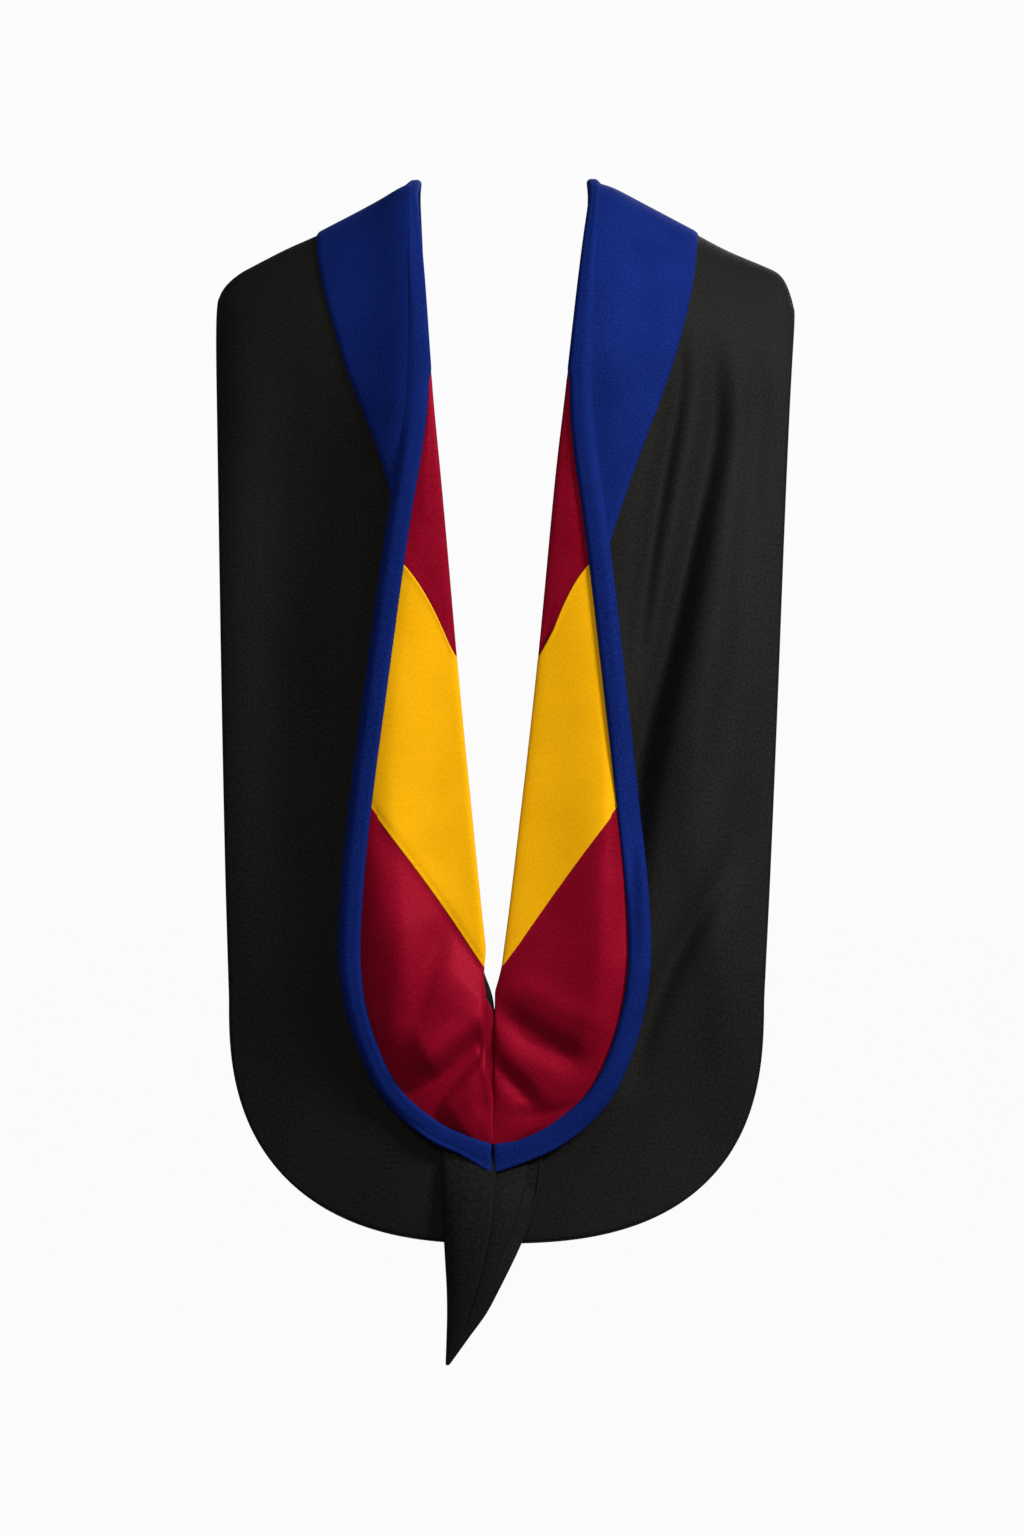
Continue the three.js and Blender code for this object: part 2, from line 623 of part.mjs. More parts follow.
// Sleeve wall around closed loops of points: open at the first loop and closed at the last.
function closedSleeve(grid, thickness) {
  const around = grid[0].length;
  const offsetLoops = (loops, distance) => loops.map((loop, i) => loop.map((point, j) => {
    const along = grid[Math.min(grid.length - 1, i + 1)][j].clone().sub(grid[Math.max(0, i - 1)][j]);
    const across = loop[(j + 1) % around].clone().sub(loop[(j + around - 1) % around]);
    return point.clone().addScaledVector(across.cross(along).normalize(), distance);
  }));
  const outside = offsetLoops(grid, thickness / 2);
  const inside = offsetLoops(grid.slice(0, -1), -thickness / 2);
  const positions = [];
  const faces = [];
  const starts = [];
  for (const loop of [...inside.reverse(), ...outside]) {
    starts.push(positions.length);
    positions.push(...loop);
  }
  for (let i = 0; i < starts.length - 1; i += 1) {
    for (let j = 0; j < around; j += 1) {
      const next = (j + 1) % around;
      faces.push([starts[i] + j, starts[i + 1] + j, starts[i + 1] + next]);
      faces.push([starts[i] + j, starts[i + 1] + next, starts[i] + next]);
    }
  }
  for (const start of [starts[0], starts[starts.length - 1]]) {
    const loop = positions.slice(start, start + around);
    const centre = loop.reduce((sum, point) => sum.add(point), new THREE.Vector3()).divideScalar(around);
    const hub = positions.push(centre) - 1;
    for (let j = 0; j < around; j += 1) {
      const next = (j + 1) % around;
      faces.push(start === starts[0] ? [hub, start + j, start + next] : [hub, start + next, start + j]);
    }
  }
  return closedGeometry(positions, faces);
}

const group = new THREE.Group();

function addPiece(name, geometry, material) {
  const mesh = new THREE.Mesh(geometry, material);
  mesh.name = name;
  group.add(mesh);
}

for (const side of SIDES) {
  const lastRow = LINING.length - 1;
  addPiece(`cape_${side.name}`, capeHalf(side), wool);
  addPiece(`facing_${side.name}`, facing(side), velvet);
  addPiece(`band_${side.name}`, band(side), velvet);
  addPiece(
    `lining_top_${side.name}`,
    liningPiece(side, LINING_START, CHEVRON_TOP - SEAM_TRIM, LINING_TOP_GRID, true),
    maroonSatin,
  );
  addPiece(
    `chevron_${side.name}`,
    liningPiece(side, CHEVRON_TOP + SEAM_TRIM, CHEVRON_FOOT - SEAM_TRIM, CHEVRON_GRID, true),
    goldSatin,
  );
  addPiece(
    `lining_foot_${side.name}`,
    liningPiece(side, CHEVRON_FOOT + SEAM_TRIM, lastRow, LINING_FOOT_GRID, false),
    maroonSatin,
  );
}
addPiece('tail', tail(), wool);

export default group;
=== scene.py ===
import math

import bmesh
import bpy
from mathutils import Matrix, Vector


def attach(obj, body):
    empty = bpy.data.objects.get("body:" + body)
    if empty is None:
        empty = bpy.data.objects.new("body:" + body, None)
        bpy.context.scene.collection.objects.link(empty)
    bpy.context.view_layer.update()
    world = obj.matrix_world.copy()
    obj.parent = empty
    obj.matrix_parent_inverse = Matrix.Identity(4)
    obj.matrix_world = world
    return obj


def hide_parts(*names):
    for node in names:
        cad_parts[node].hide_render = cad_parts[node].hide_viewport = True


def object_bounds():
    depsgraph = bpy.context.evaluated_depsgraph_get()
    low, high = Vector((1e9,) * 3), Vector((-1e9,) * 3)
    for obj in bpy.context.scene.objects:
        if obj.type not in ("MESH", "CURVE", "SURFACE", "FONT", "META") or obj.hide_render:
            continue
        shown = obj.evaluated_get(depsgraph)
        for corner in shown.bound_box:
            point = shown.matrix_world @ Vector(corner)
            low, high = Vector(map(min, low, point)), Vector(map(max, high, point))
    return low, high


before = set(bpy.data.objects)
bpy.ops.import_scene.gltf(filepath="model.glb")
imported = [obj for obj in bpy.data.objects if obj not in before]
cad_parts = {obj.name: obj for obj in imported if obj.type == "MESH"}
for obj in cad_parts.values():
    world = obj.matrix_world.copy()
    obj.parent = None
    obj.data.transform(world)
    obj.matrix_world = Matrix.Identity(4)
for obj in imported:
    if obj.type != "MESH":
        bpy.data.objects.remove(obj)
cad_low, cad_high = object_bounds()


# Studio. A plain pale floor lies well below the hood, which is held up at its neck, under soft lamps with
# the key on the right. The level camera is far off behind the wearer, so upright edges stay upright.

PHOTO_LONG_SIDE = 1.275
CAMERA_DISTANCE = 7.08
CAMERA_SIGHT = 60.0
SENSOR_WIDTH = 36.0
CAMERA_AIM = Vector((0.0066, -0.095, -0.4909))
FLOOR_DROP = 0.32
FLOOR_SIZE = 40.0
FLOOR_GREY = 0.02
FLOOR_GLOW = 0.962
PAPER_WHITE = 0.968
ROOM_LIGHT = 0.12
HOOD_MIDDLE = (0.0, -0.05, -0.45)

camera_data = bpy.data.cameras.new("camera")
camera_data.sensor_width = SENSOR_WIDTH
camera_data.lens = SENSOR_WIDTH * CAMERA_DISTANCE / PHOTO_LONG_SIDE
camera_data.clip_end = CAMERA_SIGHT
camera = bpy.data.objects.new("camera", camera_data)
camera.location = CAMERA_AIM + Vector((0.0, -CAMERA_DISTANCE, 0.0))
camera.rotation_euler = (math.pi / 2, 0.0, 0.0)
bpy.context.collection.objects.link(camera)
bpy.context.scene.camera = camera
bpy.context.scene.view_settings.view_transform = "Standard"


def node_material(name):
    material = bpy.data.materials.new(name)
    material.use_nodes = True
    tree = material.node_tree
    return material, tree, tree.nodes["Principled BSDF"]


floor_material, _, floor_shader = node_material("pale_floor")
floor_shader.inputs["Base Color"].default_value = (FLOOR_GREY, FLOOR_GREY, FLOOR_GREY, 1.0)
floor_shader.inputs["Roughness"].default_value = 1.0
floor_shader.inputs["Specular IOR Level"].default_value = 0.0
floor_shader.inputs["Emission Color"].default_value = (1.0, 1.0, 1.0, 1.0)
floor_shader.inputs["Emission Strength"].default_value = FLOOR_GLOW

floor_mesh = bmesh.new()
bmesh.ops.create_grid(floor_mesh, x_segments=1, y_segments=1, size=FLOOR_SIZE)
bmesh.ops.translate(floor_mesh, vec=(0.0, 0.0, cad_low.z - FLOOR_DROP), verts=floor_mesh.verts)
floor_data = bpy.data.meshes.new("floor")
floor_mesh.to_mesh(floor_data)
floor_mesh.free()
floor_data.materials.append(floor_material)
floor = bpy.data.objects.new("floor", floor_data)
floor.visible_diffuse = False
floor.visible_glossy = False
bpy.context.collection.objects.link(floor)

# The room shows as white paper, and lights the hood with less than that, so that folds keep their shade.
world = bpy.data.worlds.new("studio")
world.use_nodes = True
world_tree = world.node_tree
room = world_tree.nodes["Background"]
room.inputs["Color"].default_value = (1.0, 1.0, 1.0, 1.0)
light_path = world_tree.nodes.new("ShaderNodeLightPath")
room_strength = world_tree.nodes.new("ShaderNodeMapRange")
room_strength.inputs["To Min"].default_value = ROOM_LIGHT
room_strength.inputs["To Max"].default_value = PAPER_WHITE
world_tree.links.new(light_path.outputs["Is Camera Ray"], room_strength.inputs["Value"])
world_tree.links.new(room_strength.outputs["Result"], room.inputs["Strength"])
bpy.context.scene.world = world


def soft_lamp(name, place, size, power):
    lamp_data = bpy.data.lights.new(name, "AREA")
    lamp_data.shape = "RECTANGLE"
    lamp_data.size, lamp_data.size_y = size
    lamp_data.energy = power
    lamp = bpy.data.objects.new(name, lamp_data)
    lamp.location = place
    lamp.rotation_euler = (Vector(HOOD_MIDDLE) - Vector(place)).to_track_quat("-Z", "Y").to_euler()
    bpy.context.collection.objects.link(lamp)


soft_lamp("key_lamp", (2.0, -1.4, 0.95), (0.6, 0.6), 90.0)
soft_lamp("fill_lamp", (-0.4, -2.8, 0.9), (1.2, 1.2), 28.0)
soft_lamp("front_lamp", (0.6, 2.6, 0.9), (1.4, 1.4), 34.0)


# Cape. Two halves of matt black worsted cloth, seamed up the middle of the back below the vee and draped
# from the shoulder line down the back and the chest. Its right half hangs in long soft folds.

MM = 0.001
HALF_WIDTH = 240.0
BACK_DROP = 970.0
FRONT_DROP = 240.0
FRONT_SLANT = 34.0
FRONT_HALF_WIDTH = 132.0
FRONT_CLOSING = 5.0
NECK_WIDTH = 146.0
VEE_DROP = 762.0
CENTRE_LEAN = 10.0
SHOULDER_SLOPE = 0.531
NECK_ROUND = 10.0
TIP_DROOP = 9.0
TIP_SPAN = {"left": 24.0, "right": 13.0}
TIP_TURN = 5.0
TIP_TURN_SPAN = 7.0
BACK_ROLL = 150.0
BACK_DEPTH = 100.0
BACK_EDGE_DEPTH = 38.0
HEM_EDGE_DEPTH = 62.0
HEM_FLARE_DROP = 900.0
SLOPE_FADE = 450.0
FRONT_ROLL = 110.0
FRONT_DEPTH = 90.0
FRONT_EDGE_DEPTH = 44.0
WOOL = 1.5
WORSTED_DARK = (0.0045, 0.0043, 0.0036)
WORSTED_LIGHT = (0.0145, 0.014, 0.0125)
AIR = 0.6
CAPE_TAPER = 0.925
CORNER_DROP = 200.0
CORNER_POWER = {"left": 2.5, "right": 2.68}
CORNER_START = 0.84
CAPE_INSET = 4.6
CLOSING_START = 0.97
CLOSING_SPAN = 0.06
SEAM_OVERLAP = 0.8
FOLD_DEPTH = 15.0
RIDGE_HEIGHT = {"left": 17.0, "right": 13.0}
RIDGE_REACH = {"left": 56.0, "right": 100.0}
RIDGE_LEAN = {"left": 0.15, "right": -0.12}
RIDGE_TOP = {"left": (160.0, 180.0), "right": (60.0, 200.0)}
RIDGE_INNER_REACH = 48.0
RIDGE_FADE = 740.0
RIDGE_FADE_SPAN = 170.0
SIDES = {"left": -1, "right": 1}
SIDE_WIDTH = {"left": 0.992, "right": 1.008}

NECK_EDGE = [(0.0, 0.985), (0.085, 0.985), (0.195, 0.905), (0.33, 0.772), (0.44, 0.645),
             (0.64, 0.456), (0.8, 0.284), (0.97, 0.08), (1.0, 0.0)]
CAPE_EDGE = [(0.0, 1.004), (0.13, 1.004), (0.3, 0.993), (0.57, 0.972), (0.85, 0.944), (1.0, 0.925)]
FRONT_EDGE = [(0.0, 0.0), (0.18, 0.03), (0.4, 0.22), (0.6, 0.52), (0.8, 0.82), (1.0, 1.0)]

# How much each shoulder stands above an even slope, at distances from the middle, in millimetres.
SHOULDER_LIFT = {
    "left": [(0.0, 0.0), (150.0, 0.0), (184.0, 2.5), (217.0, 3.0), (242.0, 3.7)],
    "right": [(0.0, 0.0), (74.0, 0.5), (93.0, 3.0), (158.0, 3.5), (186.0, 3.5), (224.0, 7.4), (244.0, 8.0)],
}

# The cloth stands up in a soft ridge beside the lining: down the back, how far out its crest lies.
RIDGE_CREST = [(0.0, 76.0), (250.0, 72.0), (340.0, 76.0), (480.0, 92.0), (610.0, 102.0), (690.0, 109.0),
               (760.0, 108.0), (830.0, 88.0), (900.0, 40.0)]

# Each hanging fold: its width in millimetres, then places down and out, as shares, with its depth there.
CAPE_FOLDS = {
    "left": [
        (30.0, [(0.1, 0.93, 0.0), (0.25, 0.93, -0.5), (0.48, 0.93, -0.5), (0.67, 0.91, -0.4),
                (0.82, 0.88, 0.0)]),
    ],
    "right": [
        (13.5, [(0.18, 0.735, 0.0), (0.25, 0.742, 0.8), (0.3, 0.736, 1.15), (0.386, 0.678, 1.3),
                (0.485, 0.602, 1.45), (0.57, 0.524, 1.6), (0.64, 0.485, 1.3), (0.7, 0.475, 0.6),
                (0.76, 0.465, 0.0)]),
        (9.5, [(0.18, 0.618, 0.0), (0.25, 0.618, 0.65), (0.34, 0.568, 0.9), (0.43, 0.518, 0.8),
               (0.5, 0.49, 0.6), (0.57, 0.47, 0.0)]),
        (12.0, [(0.18, 0.885, 0.0), (0.25, 0.886, 0.42), (0.38, 0.86, 0.45), (0.48, 0.83, 0.35),
                (0.57, 0.767, 0.3), (0.66, 0.71, 0.0)]),
        (27.0, [(0.16, 0.84, 0.0), (0.28, 0.83, -0.3), (0.43, 0.79, -0.7), (0.57, 0.71, -0.9),
                (0.66, 0.72, -0.6), (0.78, 0.8, -0.6), (0.92, 0.8, 0.0)]),
        (13.0, [(0.6, 0.87, 0.0), (0.665, 0.82, 0.4), (0.725, 0.695, 0.75), (0.776, 0.59, 0.85),
                (0.827, 0.515, 0.65), (0.88, 0.47, 0.0)]),
    ],
}


def mix(a, b, t):
    return a + (b - a) * t


def clamp(t):
    return min(1.0, max(0.0, t))


def smooth(t):
    k = clamp(t)
    return k * k * (3.0 - 2.0 * k)


def read_curve(points, at, column=1):
    """Smooth curve through rows of (place, values), read at a place."""
    last = len(points) - 1
    at = min(points[last][0], max(points[0][0], at))
    i = 0
    while i < last - 1 and at > points[i + 1][0]:
        i += 1

    def slope(k):
        before = points[max(0, k - 1)]
        after = points[min(last, k + 1)]
        return (after[column] - before[column]) / (after[0] - before[0])

    span = points[i + 1][0] - points[i][0]
    t = (at - points[i][0]) / span
    rise = 3.0 * t * t - 2.0 * t * t * t
    leave = t * t * t - 2.0 * t * t + t
    arrive = t * t * t - t * t
    return (
        (1.0 - rise) * points[i][column]
        + rise * points[i + 1][column]
        + leave * span * slope(i)
        + arrive * span * slope(i + 1)
    )


def shoulder_drop(x):
    beyond = abs(x) - NECK_WIDTH / 2
    side = "right" if x > 0 else "left"
    tip = max(0.0, (abs(x) - HALF_WIDTH + TIP_SPAN[side]) / TIP_SPAN[side])
    turn = max(0.0, (abs(x) - HALF_WIDTH + TIP_TURN_SPAN) / TIP_TURN_SPAN)
    lifted = read_curve(SHOULDER_LIFT[side], abs(x))
    slope = SHOULDER_SLOPE * 0.5 * (beyond + math.hypot(beyond, NECK_ROUND))
    return slope + TIP_DROOP * tip * tip + TIP_TURN * turn * turn - lifted


def draped_point(x, down):
    front = down < 0
    length = abs(down)
    roll = FRONT_ROLL if front else BACK_ROLL
    middle = FRONT_DEPTH if front else BACK_DEPTH
    flare = smooth(length / HEM_FLARE_DROP)
    edge = FRONT_EDGE_DEPTH if front else mix(BACK_EDGE_DEPTH, HEM_EDGE_DEPTH, flare)
    depth = middle + (edge - middle) * (x / HALF_WIDTH) ** 2
    quarter = roll * math.pi / 2
    turned = min(length, quarter) / roll
    fallen = roll * (1.0 - math.cos(turned)) + max(0.0, length - quarter)
    slope = shoulder_drop(x) * (1.0 - smooth(length / SLOPE_FADE))
    return Vector((x, (1 if front else -1) * depth * math.sin(turned), -slope - fallen))


def draped_normal(x, down):
    step = 0.5
    across = draped_point(x + step, down) - draped_point(x - step, down)
    along = draped_point(x, down + step) - draped_point(x, down - step)
    return along.cross(across).normalized()


def hanging_relief(side, out, down):
    """How far the cloth stands off its even drape: the ridge beside the lining, and the hanging folds."""
    if down < 0:
        return Vector((0.0, 0.0, 0.0))
    off = out - read_curve(RIDGE_CREST, down)
    reach = RIDGE_REACH[side] if off > 0 else RIDGE_INNER_REACH
    top, rise = RIDGE_TOP[side]
    ends = smooth((down - top) / rise) * (1.0 - smooth((down - RIDGE_FADE) / RIDGE_FADE_SPAN))
    ridge = RIDGE_HEIGHT[side] * ends * math.exp(-((off / reach) ** 2))
    folds = 0.0
    for width, places in CAPE_FOLDS[side]:
        share = down / BACK_DROP
        if places[0][0] < share < places[-1][0]:
            aside = (out - HALF_WIDTH * read_curve(places, share)) / width
            folds -= FOLD_DEPTH * read_curve(places, share, 2) * math.exp(-aside * aside)
    return Vector((SIDES[side] * RIDGE_LEAN[side] * ridge, -ridge - folds, 0.0))


def cloth_place(side, out, down, lift):
    """A point of the hood, in millimetres, from its side, its place on the cloth and its height."""
    inner = NECK_WIDTH / 2
    slanted = down
    if down < 0:
        slanted = down * (1.0 - FRONT_SLANT / FRONT_DROP * (out - inner) / (FRONT_HALF_WIDTH - inner))
    x = SIDES[side] * out - CENTRE_LEAN * max(0.0, down) / BACK_DROP
    return draped_point(x, slanted) + draped_normal(x, slanted) * lift + hanging_relief(side, out, down)


def neck_edge(down):
    half = NECK_WIDTH / 2
    if down < 0:
        return half * NECK_EDGE[0][1] - FRONT_CLOSING * smooth(-down / FRONT_DROP)
    return half * read_curve(NECK_EDGE, down / VEE_DROP)


def cape_edge(side, down):
    half = HALF_WIDTH * SIDE_WIDTH[side]
    if down >= 0:
        return half * read_curve(CAPE_EDGE, down / (BACK_DROP - CORNER_DROP))
    shoulder = half * CAPE_EDGE[0][1]
    return mix(shoulder, FRONT_HALF_WIDTH, read_curve(FRONT_EDGE, -down / FRONT_DROP))


def seam_closing(down):
    """0 where the neck gap is open, 1 where the two halves are sewn together below the vee."""
    return smooth((down / VEE_DROP - CLOSING_START) / CLOSING_SPAN)


def cape_inner(down):
    return neck_edge(down) + mix(CAPE_INSET, -SEAM_OVERLAP, seam_closing(down))


def cape_spot(side, u, v):
    """Out and down on one half of the cape: u runs from neck to side, v from the front to the hem."""
    straight = BACK_DROP - CORNER_DROP
    if v <= CORNER_START:
        down = mix(-FRONT_DROP, straight, v / CORNER_START)
        return Vector((mix(cape_inner(down), cape_edge(side, down), u), down))
    k = (v - CORNER_START) / (1.0 - CORNER_START)
    power = CORNER_POWER[side]
    down = straight + CORNER_DROP * k * (1.0 - u**power / 2) ** (1.0 / power)
    inner = cape_inner(down)
    half = HALF_WIDTH * SIDE_WIDTH[side] * CAPE_TAPER
    return Vector((inner + (half - inner) * u * (1.0 - k**power / 2) ** (1.0 / power), down))


def flat_area(sheet, uv_layer):
    """Area of the cloth as it was cut, from its flat coordinates, in square metres."""
    total = 0.0
    for face in sheet.faces:
        corners = [loop[uv_layer].uv for loop in face.loops]
        for i, corner in enumerate(corners):
            following = corners[(i + 1) % len(corners)]
            total += (corner.x * following.y - following.x * corner.y) / 2
    return abs(total)


def cloth_piece(name, columns, rows, spot, thickness, material):
    """A wall of cloth. spot(u, v) gives its point, in millimetres, and its place on the flat cloth."""
    sheet = bmesh.new()
    uv_layer = sheet.loops.layers.uv.new("cloth")
    bmesh.ops.create_grid(sheet, x_segments=columns, y_segments=rows, size=0.5)
    flat = {}
    for vertex in sheet.verts:
        point, place = spot(clamp(vertex.co.x + 0.5), clamp(vertex.co.y + 0.5))
        vertex.co = point * MM
        flat[vertex] = Vector(place) * MM
    for face in sheet.faces:
        face.smooth = True
        for loop in face.loops:
            loop[uv_layer].uv = flat[loop.vert]
    area = flat_area(sheet, uv_layer)
    mesh = bpy.data.meshes.new(name)
    sheet.to_mesh(mesh)
    sheet.free()
    mesh.materials.append(material)
    piece = bpy.data.objects.new(name, mesh)
    bpy.context.collection.objects.link(piece)
    wall = piece.modifiers.new("wall", "SOLIDIFY")
    wall.thickness = thickness * MM
    wall.offset = 0.0
    rounded = piece.modifiers.new("rounded", "SUBSURF")
    rounded.levels = 1
    rounded.render_levels = 1
    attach(piece, "root")
    return piece, area


class Finish:
    """A cloth material on the cloth's own coordinates, in metres, with a few helpers to lay it up."""

    def __init__(self, name):
        self.material, self.tree, self.shader = node_material(name)
        self.cloth = self.node("ShaderNodeUVMap")
        self.cloth.uv_map = "cloth"

    def node(self, kind, **settings):
        made = self.tree.nodes.new(kind)
        for key, value in settings.items():
            setattr(made, key, value)
        return made

    def link(self, start, end):
        self.tree.links.new(start, end)

    def set(self, **values):
        for key, value in values.items():
            self.shader.inputs[key.replace("_", " ")].default_value = value

    def noise(self, size, detail, stretch=(1.0, 1.0)):
        """Noise whose grains are about size metres across, drawn out along the cloth by stretch."""
        turned = self.node("ShaderNodeMapping")
        turned.inputs["Scale"].default_value = (1.0 / (size * stretch[0]), 1.0 / (size * stretch[1]), 1.0)
        grain = self.node("ShaderNodeTexNoise")
        grain.inputs["Scale"].default_value = 1.0
        grain.inputs["Detail"].default_value = detail
        self.link(self.cloth.outputs["UV"], turned.inputs["Vector"])
        self.link(turned.outputs["Vector"], grain.inputs["Vector"])
        return grain.outputs["Fac"]

    def threads(self, pitch, angle, distortion):
        """Parallel threads at a pitch in metres, turned by an angle."""
        turned = self.node("ShaderNodeMapping")
        turned.inputs["Rotation"].default_value = (0.0, 0.0, angle)
        wave = self.node("ShaderNodeTexWave", bands_direction="X")
        wave.inputs["Scale"].default_value = math.pi / (10.0 * pitch)
        wave.inputs["Distortion"].default_value = distortion
        wave.inputs["Detail Scale"].default_value = 2.0
        self.link(self.cloth.outputs["UV"], turned.inputs["Vector"])
        self.link(turned.outputs["Vector"], wave.inputs["Vector"])
        return wave.outputs["Fac"]

    def blend(self, texture, span, low, high):
        """A value that goes from low to high while the texture goes over its span."""
        ranged = self.node("ShaderNodeMapRange")
        ranged.inputs["From Min"].default_value = span[0]
        ranged.inputs["From Max"].default_value = span[1]
        ranged.inputs["To Min"].default_value = low
        ranged.inputs["To Max"].default_value = high
        self.link(texture, ranged.inputs["Value"])
        return ranged.outputs["Result"]

    def colours(self, factor, dark, light):
        mixed = self.node("ShaderNodeMix", data_type="RGBA")
        mixed.inputs["A"].default_value = (*dark, 1.0)
        mixed.inputs["B"].default_value = (*light, 1.0)
        self.link(factor, mixed.inputs["Factor"])
        return mixed.outputs["Result"]

    def together(self, first, second, kind):
        maths = self.node("ShaderNodeMath", operation=kind)
        self.link(first, maths.inputs[0])
        self.link(second, maths.inputs[1])
        return maths.outputs["Value"]

    def bump(self, height, depth, strength):
        bump = self.node("ShaderNodeBump")
        bump.inputs["Distance"].default_value = depth
        bump.inputs["Strength"].default_value = strength
        self.link(height, bump.inputs["Height"])
        self.link(bump.outputs["Normal"], self.shader.inputs["Normal"])


def black_worsted():
    finish = Finish("black_worsted")
    finish.set(Roughness=0.7, Specular_IOR_Level=0.08)
    fibres = finish.noise(0.0017, 3.0, (1.0, 1.5))
    clouds = finish.noise(0.09, 2.0, (1.0, 2.5))
    tone = finish.together(
        finish.blend(fibres, (0.36, 0.64), 0.0, 0.75), finish.blend(clouds, (0.35, 0.65), 0.0, 0.25), "ADD"
    )
    colour = finish.colours(tone, WORSTED_DARK, WORSTED_LIGHT)
    finish.link(colour, finish.shader.inputs["Base Color"])
    twill = finish.threads(0.0011, math.radians(60), 1.2)
    finish.bump(finish.together(twill, fibres, "ADD"), 0.00014, 0.4)
    return finish.material


worsted = black_worsted()


def cape_half(side):
    def spot(u, v):
        place = cape_spot(side, u, v)
        return cloth_place(side, place.x, place.y, WOOL / 2), (SIDES[side] * place.x, place.y)

    cape, area = cloth_piece(f"cape_{side}_cloth", 48, 140, spot, WOOL, worsted)
    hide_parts(f"cape_{side}")


for side in SIDES:
    cape_half(side)


# Hem of the cape. A strip of the same cloth goes round the raw edge of each half, from the foot of the
# neck edge at the front round to the middle of the back, and is felled flat inside.

HEM_WIDTH = 14.0
HEM_FOLD = 2.0
HEM_RUN = 1560.0
HEM_CLOTH = 0.9
HEM_STEP = 0.004

# Section of the hem: how far in from the cape's edge, and how high.
HEM_SECTION = [(0.4, 0.8), (-0.4, 0.75), (-0.75, 0.1), (-0.5, -0.7), (0.6, -1.15), (3.0, -1.2),
               (8.0, -1.2), (HEM_WIDTH, -1.2)]


def section_point(points, u):
    """A point of a section, a row of (across, lift) points, at a share of its steps."""
    at = u * (len(points) - 1)
    across = read_curve([(i, point[0]) for i, point in enumerate(points)], at)
    lift = read_curve([(i, point[1]) for i, point in enumerate(points)], at)
    return across, lift


def hem_place(side, t):
    """Place on the cape's edge: along the front end, down the side and back along the foot."""
    front_share, side_share = 0.05, 0.84
    if t < front_share:
        return cape_spot(side, t / front_share, 0.0)
    if t < side_share:
        return cape_spot(side, 1.0, (t - front_share) / (side_share - front_share))
    return cape_spot(side, 1.0 - (t - side_share) / (1.0 - side_share), 1.0)


def hem(side):
    def spot(u, v):
        before = hem_place(side, max(0.0, v - HEM_STEP))
        along = (hem_place(side, min(1.0, v + HEM_STEP)) - before).normalized()
        inward, lift = section_point(HEM_SECTION, u)
        place = hem_place(side, v) + Vector((-along.y, along.x)) * inward
        return cloth_place(side, place.x, place.y, lift), (u * (HEM_WIDTH + HEM_FOLD), v * HEM_RUN)

    strip, area = cloth_piece(f"cape_{side}_hem", 10, 250, spot, HEM_CLOTH, worsted)


for side in SIDES:
    hem(side)


# Velvet facing. A blue velvet lapel lies on each half of the cape, with its outer edge turned under, and
# runs from a point on the back over the shoulder and down the front. Its inner edge goes under the band.

VELVET = 2.0
FACING_WIDTH = {"left": 74.5, "right": 87.0}
FACING_DROP = {"left": 350.0, "right": 391.0}
FACING_FRONT_WIDTH = 62.0
FACING_TUCK = 5.0
FACING_TURN = 4.5
FACING_TURN_DEPTH = 2.1
FACING_AIR = 0.2
SEAM_AIR = 1.6
ROLL_WIDTH = 8.0
BAND_WIDTH = 17.5
LINING_HALF_WIDTH = 110.0
LINING_DROP = 889.0
VALLEY_DEPTH = {"left": 0.0, "right": 4.2}
VALLEY_WIDTH = 16.0
VALLEY_TOP = 50.0
VALLEY_RISE = 130.0
SWELL_HEIGHT = {"left": 4.8, "right": 3.2}
SWELL_WIDTH = {"left": 22.0, "right": 26.0}
SWELL_FOOT = {"left": 350.0, "right": 262.0}
SWELL_FADE = 80.0
SWELL_TOP = -10.0
SWELL_RISE = 60.0
BELLY_SPREAD = {"left": -1.8, "right": 1.6}
BELLY_ROWS = (5.5, 2.5)
FOOT_NARROWING = {"left": 2.6, "right": 0.0}
NARROWING_ROWS = (7.5, 2.0)
VELVET_DARK = (0.003, 0.0085, 0.075)
VELVET_LIGHT = (0.0072, 0.0215, 0.165)
VELVET_GLOSS = (0.05, 0.15, 1.0, 1.0)
VELVET_SHEEN = (0.03, 0.12, 0.75, 1.0)

LAPEL = {
    "left": [(0.0, 1.0), (0.19, 1.0), (0.31, 0.98), (0.44, 0.91), (0.57, 0.79), (0.69, 0.635),
             (0.8, 0.43), (0.91, 0.19), (1.0, 0.0)],
    "right": [(0.0, 0.925), (0.19, 0.925), (0.31, 0.92), (0.44, 0.865), (0.57, 0.76), (0.69, 0.605),
              (0.8, 0.405), (0.91, 0.175), (1.0, 0.0)],
}

# Rows of the lining: where it meets the band, out and down, then where it meets the neck edge or the
# centre seam, its bow and how far it puffs up. Rows 4 and 6 are the seams of the gold chevron.
LINING = [
    (0, 0.53, 0.279, 0.281, 0.0, 0.0),
    (1, 0.544, 0.323, 0.33, 0.0, 0.02),
    (2, 0.584, 0.365, 0.379, 0.001, 0.03),
    (3, 0.632, 0.403, 0.426, 0.003, 0.03),
    (4, 0.695, 0.458, 0.545, 0.008, 0.03),
    (5, 0.809, 0.571, 0.688, 0.006, 0.04),
    (6, 0.921, 0.684, 0.832, 0.003, 0.2),
    (7, 0.991, 0.772, 0.87, 0.0, 0.9),
    (8, 1.0, 0.839, 0.902, 0.0, 1.0),
    (9, 0.912, 0.896, 0.93, 0.0, 0.92),
    (10, 0.727, 0.947, 0.956, 0.0, 0.62),
    (11, 0.434, 0.98, 0.979, 0.0, 0.28),
    (12, 0.182, 0.9955, 0.9998, 0.0, 0.03),
]
LAST_ROW = LINING[-1][0]
